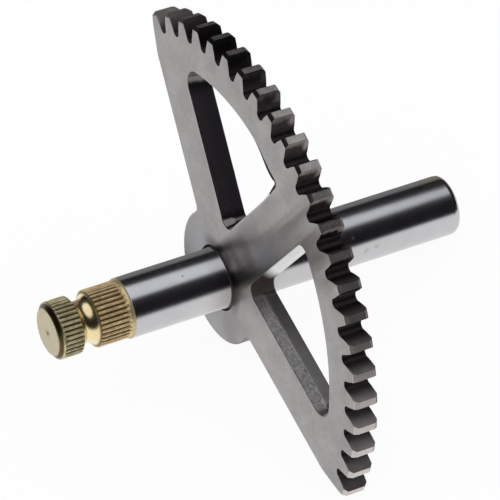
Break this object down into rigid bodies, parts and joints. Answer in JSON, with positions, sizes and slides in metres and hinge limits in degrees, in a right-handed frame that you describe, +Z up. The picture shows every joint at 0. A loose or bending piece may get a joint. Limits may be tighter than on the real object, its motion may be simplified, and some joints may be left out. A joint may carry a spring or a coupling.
{
  "type": "kickstart shaft",
  "caption": "Kickstart shaft: turned steel shaft with a serrated lever end, pressed through a toothed sector gear with two windows.",
  "frame": {"origin": "on the shaft's axis, where the back journal starts, 0.25 mm behind the sector gear's back face", "axes": "+Z up as the part lies at rest on the hub, the sector's lower corner and the shaft's back end; +Y along the shaft towards its back end, as seen from above; +X towards the sector's lower corner"},
  "size_m": [0.0937, 0.099, 0.0738],
  "materials": {
    "ground_steel": "ground and polished",
    "gear_steel": "satin"
  },
  "bodies": {
    "root": {"shaft": "ground_steel", "sector_gear": "gear_steel"}
  },
  "joints": []
}
